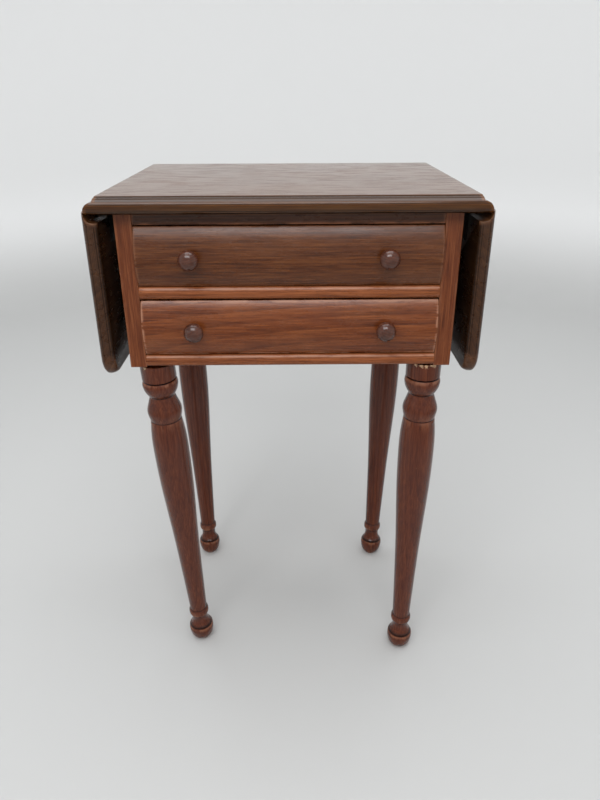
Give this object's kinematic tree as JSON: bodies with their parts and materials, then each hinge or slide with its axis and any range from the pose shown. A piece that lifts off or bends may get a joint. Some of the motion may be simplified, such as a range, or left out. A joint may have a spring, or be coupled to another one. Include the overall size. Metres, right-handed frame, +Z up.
{
  "type": "drop-leaf sewing table",
  "caption": "Small vintage sewing table on turned legs, with round-faced drawers, turned knobs and a drop leaf hanging at each side.",
  "frame": {"origin": "On the floor, under the middle of the whole table's outline.", "axes": "+Z up, -Y the side that the drawers pull out of, +X to the right of someone facing the drawers."},
  "size_m": [0.477, 0.393, 0.737],
  "materials": {
    "top_wood": "dark walnut, satin varnish, worn",
    "case_wood": "walnut, satin varnish, straight grain",
    "drawer_front_wood": "figured walnut, satin varnish",
    "leg_wood": "turned and stained dark, satin varnish, scratched",
    "knob_wood": "turned, dark stain, polished by use",
    "secondary_wood": "plain unvarnished inside timber",
    "hinge_steel": "dark oxidised steel"
  },
  "bodies": {
    "case": {"back_left_leg": "leg_wood", "back_left_leg_block": "secondary_wood", "back_left_leg_dowel": "secondary_wood", "back_panel": "case_wood", "back_right_leg": "leg_wood", "back_right_leg_block": "secondary_wood", "back_right_leg_dowel": "secondary_wood", "bottom_rail": "case_wood", "front_left_leg": "leg_wood", "front_left_leg_block": "secondary_wood", "front_left_leg_dowel": "secondary_wood", "front_right_leg": "leg_wood", "front_right_leg_block": "secondary_wood", "front_right_leg_dowel": "secondary_wood", "left_back_hinge_board_plate": "hinge_steel", "left_back_hinge_pin": "hinge_steel", "left_fly_bracket": "secondary_wood", "left_fly_bracket_pin": "hinge_steel", "left_front_hinge_board_plate": "hinge_steel", "left_front_hinge_pin": "hinge_steel", "left_kicker": "secondary_wood", "left_side": "case_wood", "lower_drawer_stop": "secondary_wood", "lower_left_runner": "secondary_wood", "lower_right_runner": "secondary_wood", "middle_rail": "case_wood", "right_back_hinge_board_plate": "hinge_steel", "right_back_hinge_pin": "hinge_steel", "right_fly_bracket": "secondary_wood", "right_fly_bracket_pin": "hinge_steel", "right_front_hinge_board_plate": "hinge_steel", "right_front_hinge_pin": "hinge_steel", "right_kicker": "secondary_wood", "right_side": "case_wood", "top_board": "top_wood", "top_rail": "case_wood", "upper_drawer_stop": "secondary_wood", "upper_left_runner": "secondary_wood", "upper_right_runner": "secondary_wood"},
    "left_leaf": {"left_back_hinge_leaf_plate": "hinge_steel", "left_front_hinge_leaf_plate": "hinge_steel", "left_leaf": "top_wood"},
    "right_leaf": {"right_back_hinge_leaf_plate": "hinge_steel", "right_front_hinge_leaf_plate": "hinge_steel", "right_leaf": "top_wood"},
    "upper_drawer": {"upper_drawer_back": "secondary_wood", "upper_drawer_bottom": "secondary_wood", "upper_drawer_front": "drawer_front_wood", "upper_drawer_left_knob": "knob_wood", "upper_drawer_left_side": "secondary_wood", "upper_drawer_right_knob": "knob_wood", "upper_drawer_right_side": "secondary_wood"},
    "lower_drawer": {"lower_drawer_back": "secondary_wood", "lower_drawer_bottom": "secondary_wood", "lower_drawer_front": "drawer_front_wood", "lower_drawer_left_knob": "knob_wood", "lower_drawer_left_side": "secondary_wood", "lower_drawer_right_knob": "knob_wood", "lower_drawer_right_side": "secondary_wood"}
  },
  "joints": [
    {"name": "left_leaf_hinge", "type": "hinge", "parent": "case", "child": "left_leaf", "pos_m": [-0.222, 0, 0.7205], "axis": [0, 1, 0], "range_deg": [0, 90]},
    {"name": "right_leaf_hinge", "type": "hinge", "parent": "case", "child": "right_leaf", "pos_m": [0.222, 0, 0.7205], "axis": [0, -1, 0], "range_deg": [0, 90]},
    {"name": "upper_drawer_slide", "type": "slide", "parent": "case", "child": "upper_drawer", "axis": [0, -1, 0], "range_m": [0, 0.22]},
    {"name": "lower_drawer_slide", "type": "slide", "parent": "case", "child": "lower_drawer", "axis": [0, -1, 0], "range_m": [0, 0.22]}
  ]
}
